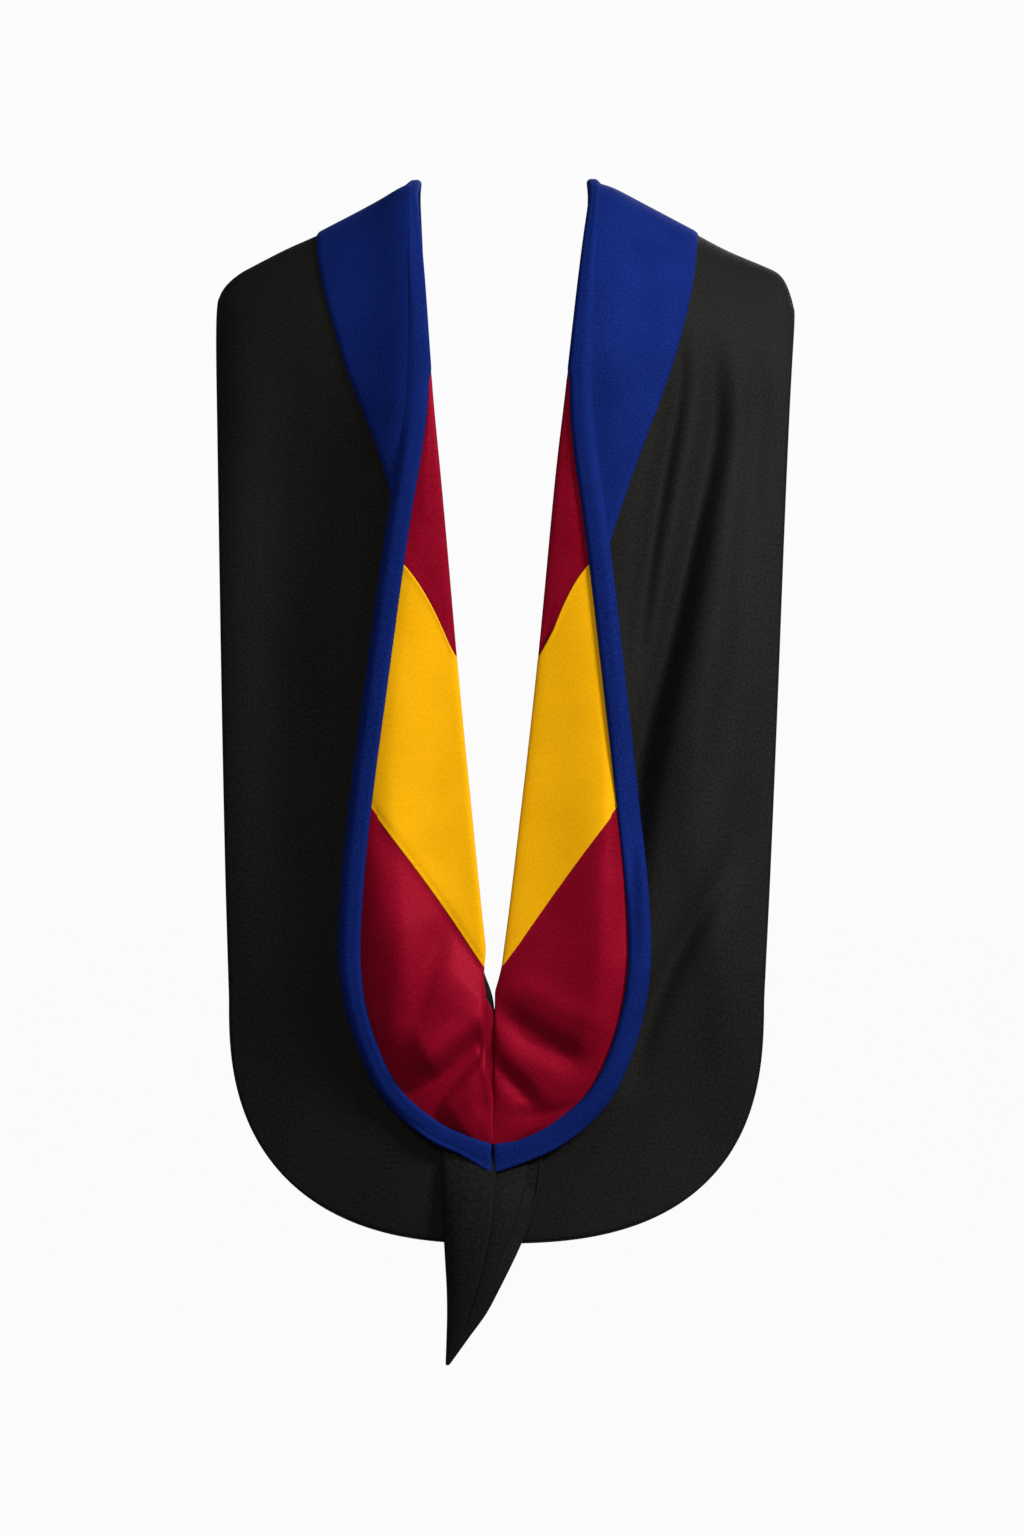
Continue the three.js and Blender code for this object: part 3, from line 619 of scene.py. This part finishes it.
LINING_TOP_DOWN = LINING[0][2] * LINING_DROP
ROW_STEP = 0.02
BAND_OUT, BAND_DOWN, NECK_DOWN, BOW, PUFF = 1, 2, 3, 4, 5


def lining_plain(row):
    out = LINING_HALF_WIDTH * read_curve(LINING, row, BAND_OUT)
    return Vector((out, LINING_DROP * read_curve(LINING, row, BAND_DOWN)))


def band_outward(row):
    """Direction away from the lining, square to the band, at a row of the lining."""
    along = (lining_plain(row + 0.05) - lining_plain(row - 0.05)).normalized()
    return Vector((along.y, -along.x))


def band_inner(side, row):
    first, count = BELLY_ROWS
    return lining_plain(row) + band_outward(row) * BELLY_SPREAD[side] * smooth((row - first) / count)


def band_width(side, row):
    first, count = NARROWING_ROWS
    return BAND_WIDTH - FOOT_NARROWING[side] * smooth((row - first) / count)


def roll_line(down):
    if down < 0:
        return neck_edge(down) + ROLL_WIDTH
    foot = LINING[0][BAND_OUT] * LINING_HALF_WIDTH + BAND_WIDTH
    return mix(neck_edge(0.0) + ROLL_WIDTH, foot, smooth(down / LINING_TOP_DOWN))


def facing_inner(side, down):
    if down <= LINING_TOP_DOWN:
        return roll_line(down)
    row = 0.0
    while (band_inner(side, row) + band_outward(row) * BAND_WIDTH).y < down:
        row += ROW_STEP
    return (band_inner(side, row) + band_outward(row) * BAND_WIDTH).x


def facing_width(side, down):
    top = FACING_WIDTH[side]
    if down < 0:
        return mix(top * LAPEL[side][0][1], FACING_FRONT_WIDTH - ROLL_WIDTH, smooth(-down / FRONT_DROP))
    return top * read_curve(LAPEL[side], down / FACING_DROP[side])


def velvet_swell(side, down):
    """1 where the facing rises into the band without a line between them, and 0 below that."""
    faded = smooth((down - SWELL_FOOT[side] + SWELL_FADE) / SWELL_FADE)
    return smooth((down - SWELL_TOP) / SWELL_RISE) * (1.0 - faded)


def blue_velvet():
    finish = Finish("blue_velvet")
    finish.set(Roughness=0.85, Specular_IOR_Level=0.1, Sheen_Weight=0.15, Sheen_Roughness=0.4)
    finish.set(Specular_Tint=VELVET_GLOSS, Sheen_Tint=VELVET_SHEEN)
    pile = finish.noise(0.0016, 4.0)
    brushed = finish.noise(0.03, 3.0, (1.0, 1.6))
    tone = finish.together(
        finish.blend(pile, (0.34, 0.66), 0.0, 0.8), finish.blend(brushed, (0.35, 0.65), 0.0, 0.2), "ADD"
    )
    colour = finish.colours(tone, VELVET_DARK, VELVET_LIGHT)
    finish.link(colour, finish.shader.inputs["Base Color"])
    finish.bump(pile, 0.0004, 0.5)
    return finish.material


velvet = blue_velvet()


def facing(side):
    lift = WOOL + FACING_AIR + VELVET / 2

    def spot(u, v):
        down = mix(-FRONT_DROP, FACING_DROP[side], v)
        inner = facing_inner(side, down) - FACING_TUCK
        width = facing_width(side, down) + FACING_TUCK + SEAM_AIR * (1.0 - clamp(down / FACING_DROP[side]))
        across = width * math.sin(u * math.pi / 2) ** 0.9
        to_edge = clamp((width - across) / min(FACING_TURN, width / 2))
        turned = FACING_TURN_DEPTH * (1.0 - math.sqrt(1.0 - (1.0 - to_edge) ** 2))
        off = max(0.0, across - FACING_TUCK)
        melt = velvet_swell(side, down)
        swell = SWELL_HEIGHT[side] * melt * math.exp(-((off / SWELL_WIDTH[side]) ** 2))
        valley = VALLEY_DEPTH[side] * (1.0 - melt) * (1.0 - math.exp(-((off / VALLEY_WIDTH) ** 2)))
        valley *= smooth((down - VALLEY_TOP) / VALLEY_RISE) * (1.0 - 0.8 * smooth(across / width))
        point = cloth_place(side, inner + across, down, lift + swell + valley - turned)
        return point, (SIDES[side] * (inner + across), down)

    lapel, area = cloth_piece(f"facing_{side}_velvet", 30, 100, spot, VELVET, velvet)
    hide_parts(f"facing_{side}")


for side in SIDES:
    facing(side)


# Velvet band. A folded strip of the same velvet: at the neck it is rolled over the edge of the cape and
# felled inside, and round the lining its edge lies on the satin. The two strips meet in a mitre.

SATIN = 1.0
ROLL_RADIUS = 3.6
ROLL_RETURN = 14.0
ROLL_CROWN = {"left": 2.4, "right": 1.6}
ROLL_CREST = {"left": 0.72, "right": 0.5}
STRIP_CROWN = 1.0
EAR_SWELL = 2.2
EAR_REACH = 34.0
BAND_MITRE = 1.32
MITRE_GAP = 0.9
TAIL_RISE = 5.4
BAND_AIR = 0.3
CROWN_START = 20.0
CROWN_RISE = 150.0
WRAP_END = 0.5
WRAP_SPAN = 0.44
NECK_SHARE = 0.42
FOOT_SHARE = 0.985
FOOT_RUN = 780.0


def band_section(width, wrap, edge_lift, crown, crest, soft):
    """Section of the band, as (across, lift) points, from its outer edge to its inner one. wrap is 1 at
    the neck, where the strip goes round the cape's edge, and 0 where its edge lies on the satin. soft is 1
    where its outer edge melts into the facing, and 0 where the edge is turned under."""
    underside = mix(WOOL + SATIN + VELVET / 2 + 0.4, -VELVET / 2 - AIR, wrap)
    shoulder = underside + ROLL_RADIUS * (1.0 + wrap)
    top = shoulder + crown
    turn = math.pi / 2 * (1.0 + wrap)
    tuck = mix(1.0, 0.35, wrap)
    points = [
        (width - mix(3.0, -2.6, soft), edge_lift - mix(1.3 * tuck, 1.7, soft)),
        (width - mix(0.9, -1.7, soft), edge_lift - mix(1.0 * tuck, 1.3, soft)),
        (width + 0.7 * soft, edge_lift - mix(0.1, 0.8, soft)),
        (width - mix(0.9, 1.2, soft), edge_lift + mix(0.9 * tuck, -0.1, soft)),
        (mix(ROLL_RADIUS, width, mix(crest, 1.0, 0.5)), mix(edge_lift, top, mix(0.75, 0.5, soft))),
        (mix(ROLL_RADIUS, width, crest), top),
        (mix(ROLL_RADIUS, width, crest * 0.5), mix(shoulder, top, 0.62)),
        (ROLL_RADIUS, shoulder),
    ]
    for i in range(1, 5):
        angle = turn * i / 4
        lift = shoulder - ROLL_RADIUS * (1.0 - math.cos(angle))
        points.append((ROLL_RADIUS * (1.0 - math.sin(angle)), lift))
    across, lift = points[-1]
    back = mix(3.0, ROLL_RETURN, smooth((wrap - 0.85) / 0.15))
    points.append((across + back * 0.5 * max(wrap, 0.35), lift - 0.5 * (1.0 - wrap)))
    points.append((across + back * max(wrap, 0.35), lift - 0.6 * (1.0 - wrap)))
    return points


def band(side):
    outer_lift = WOOL + BAND_AIR + VELVET / 2
    strip = 2 * BAND_WIDTH

    def edge_height(soft):
        return outer_lift + mix(0.6, 0.1 + SWELL_HEIGHT[side], soft)

    def neck_spot(u, down):
        wrap = 1.0 - smooth((down - LINING_TOP_DOWN * WRAP_END) / (LINING_TOP_DOWN * WRAP_SPAN))
        soft = velvet_swell(side, down)
        moved = smooth((abs(down) - CROWN_START) / CROWN_RISE)
        crest = mix(0.15, mix(0.5, ROLL_CREST[side], wrap), moved)
        crown = mix(0.4, mix(STRIP_CROWN, ROLL_CROWN[side], wrap), moved)
        width = roll_line(down) - neck_edge(down)
        across, lift = section_point(band_section(width, wrap, edge_height(soft), crown, crest, soft), u)
        ear = EAR_SWELL * math.exp(-((down / EAR_REACH) ** 2))
        inner_share = 1.0 - clamp(across / ROLL_WIDTH)
        out = neck_edge(down) + across - ear * inner_share
        return cloth_place(side, out, down, lift + 0.5 * ear * inner_share)

    def spot(u, v):
        if v <= NECK_SHARE:
            down = mix(-FRONT_DROP, LINING_TOP_DOWN, v / NECK_SHARE)
            return neck_spot(u, down), (u * strip, down)
        row = LAST_ROW * clamp((v - NECK_SHARE) / (FOOT_SHARE - NECK_SHARE))
        soft = velvet_swell(side, band_inner(side, row).y + BAND_WIDTH * band_outward(row).y)
        edge_lift = edge_height(soft) + TAIL_RISE * smooth(row - LAST_ROW + 2.0)
        width = band_width(side, row)
        across, lift = section_point(band_section(width, 0.0, edge_lift, STRIP_CROWN, 0.5, soft), u)
        point = band_inner(side, row) + band_outward(row) * across
        if v > FOOT_SHARE:
            end = Vector((MITRE_GAP, LINING_DROP + across * BAND_MITRE * BAND_WIDTH / width))
            point = point.lerp(end, (v - FOOT_SHARE) / (1.0 - FOOT_SHARE))
        run = LINING_TOP_DOWN + (v - NECK_SHARE) / (1.0 - NECK_SHARE) * FOOT_RUN
        return cloth_place(side, point.x, point.y, lift), (u * strip, run)

    strip_piece, area = cloth_piece(f"band_{side}_velvet", 28, 200, spot, VELVET, velvet)
    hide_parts(f"band_{side}")


for side in SIDES:
    band(side)


# Satin lining. It is turned out on the back in three lengths a side: maroon, the gold chevron, and maroon
# again. It swells up beside the band, falls to the neck edge and rolls over it, or into the centre seam.

LINING_PUFF = {"left": 20.0, "right": 11.0}
CREST_RUN = {"left": 49.0, "right": 34.0}
CREST_ROUND = 0.2
LINING_TUCK = 4.0
TOP_TUCK = 40.0
SATIN_RETURN = 10.0
CHEVRON_TOP = 4.0
CHEVRON_FOOT = 6.0
SEAM_DIP = 2.0
SEAM_LAP = 0.03
SATIN_FOLD_DEPTH = 9.0
SATIN_FOLD_WIDTH = 15.0
SATIN_ROLL = {"left": 12.0, "right": 25.0}
SEAM_LIP = {"left": 7.0, "right": 0.6}
LIP_TOP = 722.0
LIP_RISE = 40.0
LIP_FOOT = 810.0
LIP_FADE = 44.0
LIP_OVER = 6.0
LINING_AIR = 0.3
CREST_LIFT = 0.4
CREST_SHARE = 0.62
RETURN_ROLL = 2.5
EDGE_ON_TOP = 0.7
EDGE_UNDER = -0.9
EDGE_ROWS = 0.05
TURN_START = 0.82
TURN_WIDTH = 6.0
MAROON_DARK = (0.17, 0.0012, 0.009)
MAROON_LIGHT = (0.29, 0.0036, 0.02)
MAROON_GLOSS = (1.0, 0.05, 0.12)
GOLD_DARK = (0.86, 0.4, 0.002)
GOLD_LIGHT = (1.0, 0.49, 0.005)
GOLD_GLOSS = (1.0, 0.6, 0.02)

# Each fold of the lining's foot: its two ends, each out and down as shares, then how far it bows, its
# width and its depth.
LINING_FOLDS = {
    "left": [
        ((0.47, 0.825), (0.575, 0.875), 0.0, 0.8, 0.8),
        ((0.13, 0.91), (0.375, 0.942), 0.0, 0.85, 1.8),
        ((0.15, 0.888), (0.4, 0.912), 0.0, 0.65, -0.4),
        ((0.072, 0.944), (0.072, 0.96), 0.0, 0.4, 0.5),
    ],
    "right": [
        ((0.13, 0.884), (0.48, 0.911), 0.02, 0.85, 1.0),
        ((0.32, 0.858), (0.75, 0.884), 0.02, 0.6, -0.15),
        ((-0.02, 0.921), (0.2, 0.948), 0.0, 0.5, 0.8),
        ((0.314, 0.971), (0.472, 0.969), 0.0, 0.5, 0.3),
    ],
}


def satin_folds(side, out, down):
    """Height of the folds at a place: each is a soft groove, or a ridge, along a slightly bowed line."""
    height = 0.0
    for (start_out, start_down), (end_out, end_down), bow, width, depth in LINING_FOLDS[side]:
        run = Vector(((end_out - start_out) * LINING_HALF_WIDTH, (end_down - start_down) * LINING_DROP))
        off = Vector((out - start_out * LINING_HALF_WIDTH, down - start_down * LINING_DROP))
        t = off.dot(run) / run.length_squared
        bowed = bow * LINING_HALF_WIDTH * 4.0 * clamp(t) * (1.0 - clamp(t))
        aside = off.cross(run) / run.length + bowed
        beyond = max(0.0, -t, t - 1.0) * run.length / 2
        reach = width * SATIN_FOLD_WIDTH
        height -= depth * SATIN_FOLD_DEPTH * math.exp(-(aside * aside + beyond * beyond) / (reach * reach))
    return height


def lining_relief(side, row, out, down, sunk_seams):
    folds = satin_folds(side, out, down)
    for seam in sunk_seams:
        away = (row - seam) * LINING_DROP / (LAST_ROW + 1) / SATIN_FOLD_WIDTH
        folds -= SEAM_DIP * math.exp(-away * away)
    return folds


def lining_point(side, row, t, sunk_seams, edge_step):
    """A point of the lining on one of its rows, from under the band, t = 0, to inside the neck edge."""
    tuck_end, swell_end, roll_end = 0.06, 0.72, 0.92
    flat_lift = WOOL + LINING_AIR + SATIN / 2
    above = TOP_TUCK * min(0.0, row)
    outer = band_inner(side, row) + Vector((0.0, above))
    inner_down = LINING_DROP * read_curve(LINING, row, NECK_DOWN) + above
    closed = seam_closing(inner_down)
    seam = Vector((neck_edge(inner_down) + mix(0.15, 1.6, clamp(-row / 0.2)), inner_down))
    lip = SEAM_LIP[side] * smooth((inner_down - LIP_TOP) / LIP_RISE)
    lip *= 1.0 - smooth((inner_down - LIP_FOOT) / LIP_FADE)
    inner = seam + Vector((lip, 0.0))
    span = (outer - inner).length
    puff = LINING_PUFF[side] * read_curve(LINING, row, PUFF)
    low = mix(-AIR - SATIN / 2, flat_lift, closed)
    crest = flat_lift + CREST_LIFT + puff
    roll = min(SATIN_ROLL[side] * mix(1.0, 0.5, clamp(lip / LIP_OVER)), span * 0.5)
    brow = crest - (crest - flat_lift) * mix(0.5, 0.22, clamp((row - CHEVRON_FOOT) / 1.5))
    middle = mix((brow + low) / 2, low + 1.2, clamp(row - CHEVRON_FOOT))
    if t < tuck_end:
        return outer + band_outward(row) * LINING_TUCK * (1.0 - t / tuck_end), flat_lift
    if t <= swell_end:
        u = (t - tuck_end) / (swell_end - tuck_end)
        point = outer.lerp(inner.lerp(outer, roll / span), u)
        point.y -= LINING_DROP * read_curve(LINING, row, BOW) * 4.0 * u * (1.0 - u)
        top = min(CREST_SHARE, CREST_RUN[side] * clamp(puff / 8.0 + 0.25) / (span - roll))
        if u < top:
            full = math.hypot(1.0, CREST_ROUND) - CREST_ROUND
            lift = mix(crest, flat_lift, (math.hypot(1.0 - u / top, CREST_ROUND) - CREST_ROUND) / full)
        else:
            lift = mix(crest, brow, ((u - top) / (1.0 - top)) ** 1.6)
        relief = lining_relief(side, row, point.x, point.y, sunk_seams) * smooth(u / 0.12)
        lift += edge_step
        return point, lift + max(relief, -0.85 * (lift - flat_lift))
    if t <= roll_end:
        angle = math.pi / 2 - math.pi * (t - swell_end) / (roll_end - swell_end)
        upper = max(0.0, math.sin(angle))
        width = roll if angle > 0 else min(roll, RETURN_ROLL)
        away = width * (1.0 - math.cos(angle))
        if angle > 0:
            point = inner.lerp(outer, away / span)
        else:
            point = inner + Vector((away * (1.0 - closed), 0.0))
        relief = lining_relief(side, row, point.x, point.y, sunk_seams) * upper
        fall = brow - middle if angle > 0 else middle - low
        lift = middle + fall * math.sin(angle) + edge_step * upper
        return point, max(low, lift + relief)
    back = (t - roll_end) / (1.0 - roll_end)
    return inner + Vector((mix(RETURN_ROLL + SATIN_RETURN * back, -lip * back, closed), 0.0)), low


def satin(name, dark, light, sheen):
    finish = Finish(name)
    finish.set(Metallic=0.06, Specular_IOR_Level=0.2, Specular_Tint=(*sheen, 1.0))
    yarn = finish.noise(0.0014, 3.0, (1.0, 2.0))
    clouds = finish.noise(0.05, 2.0)
    tone = finish.together(
        finish.blend(yarn, (0.34, 0.66), 0.0, 0.7), finish.blend(clouds, (0.35, 0.65), 0.0, 0.3), "ADD"
    )
    finish.link(finish.colours(tone, dark, light), finish.shader.inputs["Base Color"])
    finish.link(finish.blend(clouds, (0.35, 0.65), 0.42, 0.52), finish.shader.inputs["Roughness"])
    weave = finish.threads(0.0006, 0.0, 0.6)
    finish.bump(finish.together(weave, yarn, "ADD"), 0.00009, 0.3)
    return finish.material


maroon_satin = satin("maroon_satin", MAROON_DARK, MAROON_LIGHT, MAROON_GLOSS)
gold_satin = satin("gold_satin", GOLD_DARK, GOLD_LIGHT, GOLD_GLOSS)


def lining_piece(name, side, rows, grid, material, sunk_seams, lapped):
    """One length of the lining between two rows. lapped says which of its ends lie on the next piece."""
    first, last = rows
    start = first if lapped[0] else first - SEAM_LAP
    end = last if lapped[1] else last + SEAM_LAP

    def spot(u, v):
        row = mix(start, end, v)
        step = 0.0
        for place, on_top in ((first, lapped[0]), (last, lapped[1])):
            if place in (CHEVRON_TOP, CHEVRON_FOOT):
                near = math.exp(-(((row - place) / EDGE_ROWS) ** 2))
                step += near * (EDGE_ON_TOP if on_top else EDGE_UNDER)
        point, lift = lining_point(side, row, u, sunk_seams, step)
        beyond = max(0.0, u - TURN_START) / (1.0 - TURN_START)
        turned_in = beyond * mix(SATIN_RETURN + TURN_WIDTH, TURN_WIDTH, seam_closing(point.y))
        edge = lining_point(side, row, min(u, TURN_START), sunk_seams, step)[0]
        return cloth_place(side, point.x, point.y, lift), (SIDES[side] * (edge.x - turned_in), edge.y)

    piece, area = cloth_piece(f"{name}_{side}_satin", grid[0], grid[1], spot, SATIN, material)
    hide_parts(f"{name}_{side}")


for side in SIDES:
    lining_piece(
        "lining_top", side, (-0.3, CHEVRON_TOP), (32, 46),
        maroon_satin, [CHEVRON_TOP], (True, False),
    )
    lining_piece(
        "chevron", side, (CHEVRON_TOP, CHEVRON_FOOT), (42, 58),
        gold_satin, [], (True, False),
    )
    lining_piece(
        "lining_foot", side, (CHEVRON_FOOT, float(LAST_ROW)), (58, 84),
        maroon_satin, [CHEVRON_FOOT], (True, True),
    )


# Tail. A flat hollow sleeve of the black worsted hangs from under the foot of the band. Its face is pressed
# into two knife pleats that lap to the right, and it narrows to a point on its left edge.

TAIL_TOP = 898.0
TAIL_LENGTH = 174.0
TAIL_WIDTH = 82.0
TAIL_THICKNESS = 15.0
TAIL_HALF = 42.0
TAIL_TOP_DIP = 14.0
PLEAT_GAP = 2.3
PLEAT_TURN = 0.8

# Down the tail: its left edge, the edges of its left and middle panels and its right edge, from the middle
# line, its share of the thickness, and how deep its two pleats are folded back.
TAIL = [
    (0.0, -42.0, 3.5, 30.0, 40.5, 0.15, 0.0, 0.0),
    (0.098, -42.0, 2.0, 27.7, 39.0, 0.5, 5.0, 4.0),
    (0.195, -41.3, 0.6, 23.6, 36.2, 0.8, 9.0, 6.0),
    (0.305, -40.3, -1.2, 18.3, 31.4, 0.96, 9.0, 6.0),
    (0.397, -39.3, -3.4, 13.0, 25.0, 1.0, 9.0, 4.0),
    (0.489, -38.2, -6.7, 7.0, 18.0, 0.97, 8.0, 1.5),
    (0.638, -36.5, -13.0, -2.0, 5.5, 0.82, 6.0, 0.0),
    (0.753, -36.0, -19.2, -10.5, -5.0, 0.64, 4.0, 0.0),
    (0.862, -36.2, -24.8, -19.5, -18.5, 0.42, 2.0, 0.0),
    (1.0, -36.8, -36.1, -35.8, -35.4, 0.1, 0.0, 0.0),
]


def knife_pleat(edge, back, top, gap):
    """Points of a pleat pressed at an edge: over it, back under the panel and out again below."""
    return [
        (edge - PLEAT_TURN, top - 0.1 * gap), (edge, top - 0.5 * gap), (edge - PLEAT_TURN, top - gap),
        (edge - back, top - gap), (edge - back - PLEAT_TURN, top - 1.5 * gap),
        (edge - back, top - 2.0 * gap), (edge - PLEAT_TURN, top - 2.0 * gap),
    ]


def tail_section(share):
    left, seam, second, right, thick, deep, shallow = (read_curve(TAIL, share, i) for i in range(1, 8))
    height = TAIL_THICKNESS * thick
    gap = PLEAT_GAP * clamp(height / 9.0)
    panel = seam - left
    small = gap * clamp(shallow / 4.0)
    lower = height - 2.0 * gap
    side_top = lower - 1.6 * thick - 2.0 * small
    points = [
        (left + 0.3, 0.02 * height), (left, 0.1 * height), (left + 0.02 * panel, 0.34 * height),
        (left + 0.12 * panel, 0.62 * height), (left + 0.34 * panel, 0.86 * height),
        (left + 0.66 * panel, 0.98 * height), (seam - 0.12 * panel, height),
    ]
    points += knife_pleat(seam, min(deep, panel * 0.6), height, gap)
    points += [(mix(seam, second, 0.3), lower + 0.7 * thick), (mix(seam, second, 0.7), lower + 0.1 * thick)]
    points += knife_pleat(second, min(shallow, (second - seam) * 0.6), lower - 1.6 * thick, small)
    points += [
        (mix(second, right, 0.4), side_top * 0.72), (mix(second, right, 0.84), side_top * 0.6),
        (right, 0.16 * height), (right - 0.3, 0.03 * height),
    ]
    points += [(mix(right, left, k), 0.0) for k in (0.1, 0.35, 0.65, 0.9)]
    return points + points[:1]


def tail_spot(u, v):
    x, height = section_point(tail_section(v), u)
    top_dip = TAIL_TOP_DIP * abs(x) / TAIL_HALF * (1.0 - clamp(v / 0.2))
    down = TAIL_TOP + TAIL_LENGTH * v - top_dip
    lift = WOOL + AIR + WOOL / 2 + height
    middle = -CENTRE_LEAN * down / BACK_DROP
    place = (2.0 * TAIL_WIDTH * u, TAIL_LENGTH * v)
    return draped_point(x + middle, down) + Vector((0.0, -lift, 0.0)), place


tail, tail_area = cloth_piece("tail_cloth", 132, 46, tail_spot, WOOL, worsted)
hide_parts("tail")
